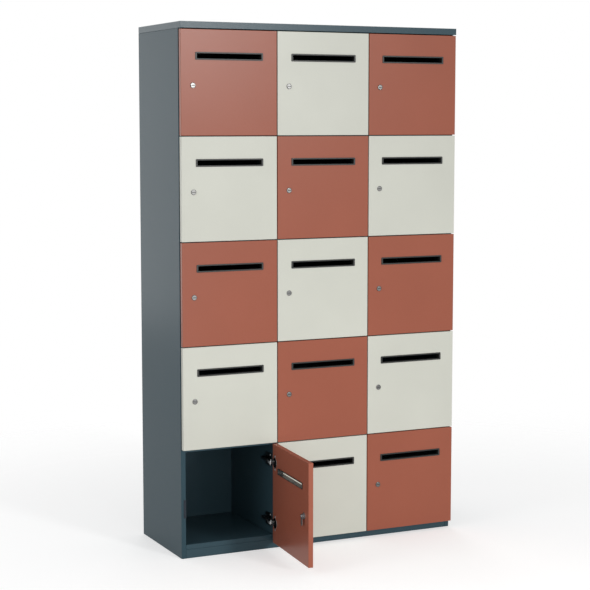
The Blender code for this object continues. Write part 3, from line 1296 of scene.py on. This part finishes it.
@dataclass
class Studio:
    """Pale floor, white surroundings, soft lamps and the camera."""

    camera_spot: Point = (-2.6947, -5.6390, 1.6172)
    camera_yaw: float = 25.411
    camera_pitch: float = 6.143
    lens: float = 97.71
    sensor: float = 36.0
    floor_radius: float = 7.0
    floor_sides: int = 96
    floor_colour: float = 0.75
    floor_lift: float = 0.46
    floor_fade: Span = (1.2, 3.2)
    ambient: float = 0.45
    lamps: tuple[SoftBox, ...] = (
        SoftBox("key_box", (4.5, -14.4, 3.5), (0.0, 0.0, 1.0), 2.0, 830.0),
        SoftBox("left_box", (-4.3, -1.3, 2.3), (0.0, 0.0, 1.2), 2.0, 32.0),
        SoftBox("low_box", (-0.30, -2.3, 0.6), (0.1, -0.4, 0.1), 1.0, 10.4),
        SoftBox("side_box", (-1.9, 3.4, 1.40), (-0.575, 0.0, 1.40), 2.0, 11.5),
        SoftBox("back_box", (1.5, 4.5, 3.0), (0.0, 0.2, 1.0), 2.0, 40.0),
    )

    @staticmethod
    def _seen(tree: bpy.types.NodeTree, unseen: float, seen: float) -> Socket:
        """Add a value that depends on whether the camera sees it, straight, mirrored or through glass.

        Args:
            tree: Node tree to add to.
            unseen: Value for all other light.
            seen: Value for what the camera sees.

        Returns:
            The value.
        """
        path = add_node(tree, "ShaderNodeLightPath", {})
        flag = path.outputs["Is Camera Ray"]
        for kind in ("Is Glossy Ray", "Is Transmission Ray"):
            either = add_node(tree, "ShaderNodeMath", {0: flag, 1: path.outputs[kind]})
            either.operation = "MAXIMUM"
            flag = either.outputs["Value"]
        span = add_node(tree, "ShaderNodeMapRange", {"Value": flag}, To_Min=unseen, To_Max=seen)
        return span.outputs["Result"]

    def surround(self) -> None:
        """White surroundings that light the object at a plain level."""
        world = bpy.data.worlds.new("studio")
        world.use_nodes = True
        tree = world.node_tree
        tree.links.new(self._seen(tree, self.ambient, 1.0), tree.nodes["Background"].inputs["Strength"])
        tree.nodes["Background"].inputs["Color"].default_value = WHITE
        bpy.context.scene.world = world

    def floor(self) -> None:
        """Pale floor that keeps the shadow and fades out into the surroundings."""
        bpy.ops.object.select_all(action="DESELECT")
        size = {"vertices": self.floor_sides, "radius": self.floor_radius}
        bpy.ops.mesh.primitive_circle_add(fill_type="NGON", **size)
        floor = bpy.context.active_object
        floor.name = "floor"
        material = bpy.data.materials.new("floor")
        material.use_nodes = True
        tree = material.node_tree
        tree.nodes.remove(tree.nodes["Principled BSDF"])
        matt = add_node(tree, "ShaderNodeBsdfDiffuse", {}, Color=(*(self.floor_colour,) * 3, 1.0))
        lift = add_node(tree, "ShaderNodeEmission", {"Strength": self._seen(tree, 0.0, self.floor_lift)})
        lit = add_node(tree, "ShaderNodeAddShader", {0: matt.outputs[0], 1: lift.outputs[0]})
        place = add_node(tree, "ShaderNodeTexCoord", {}).outputs["Object"]
        length = add_node(tree, "ShaderNodeVectorMath", {0: place})
        length.operation = "LENGTH"
        links = {"Value": length.outputs["Value"]}
        near, far = self.floor_fade
        fade = add_node(tree, "ShaderNodeMapRange", links, From_Min=near, From_Max=far)
        fade.interpolation_type = "SMOOTHSTEP"
        clear = add_node(tree, "ShaderNodeBsdfTransparent", {})
        links = {"Fac": fade.outputs["Result"], 1: lit.outputs[0], 2: clear.outputs[0]}
        mix = add_node(tree, "ShaderNodeMixShader", links)
        tree.links.new(mix.outputs[0], tree.nodes["Material Output"].inputs["Surface"])
        floor.data.materials.append(material)
        floor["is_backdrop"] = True

    def camera(self) -> None:
        """Camera at the photograph's viewing angle."""
        data = bpy.data.cameras.new("camera")
        data.sensor_width = self.sensor
        data.lens = self.lens
        item = bpy.data.objects.new("camera", data)
        item.location = self.camera_spot
        item.rotation_euler = (math.radians(90.0 - self.camera_pitch), 0.0, -math.radians(self.camera_yaw))
        bpy.context.scene.collection.objects.link(item)
        bpy.context.scene.camera = item

    def build(self) -> None:
        """Set up everything round the object."""
        self.surround()
        self.floor()
        for lamp in self.lamps:
            lamp.hang()
        self.camera()
        bpy.context.scene.view_settings.view_transform = "Standard"


def main() -> None:
    """Load the frame, build the sorter and the studio, and measure both boxes."""
    logging.basicConfig(level=logging.INFO, format="%(name)s: %(message)s")
    for item in list(bpy.data.objects):
        bpy.data.objects.remove(item)
    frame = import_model()
    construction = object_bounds()
    Sorter(frame).build()
    Studio().build()
    boxes = {"cad": construction, "visual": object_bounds()}
    {name: [list(corner) for corner in box] for name, box in boxes.items()}


if __name__ == "__main__":
    main()
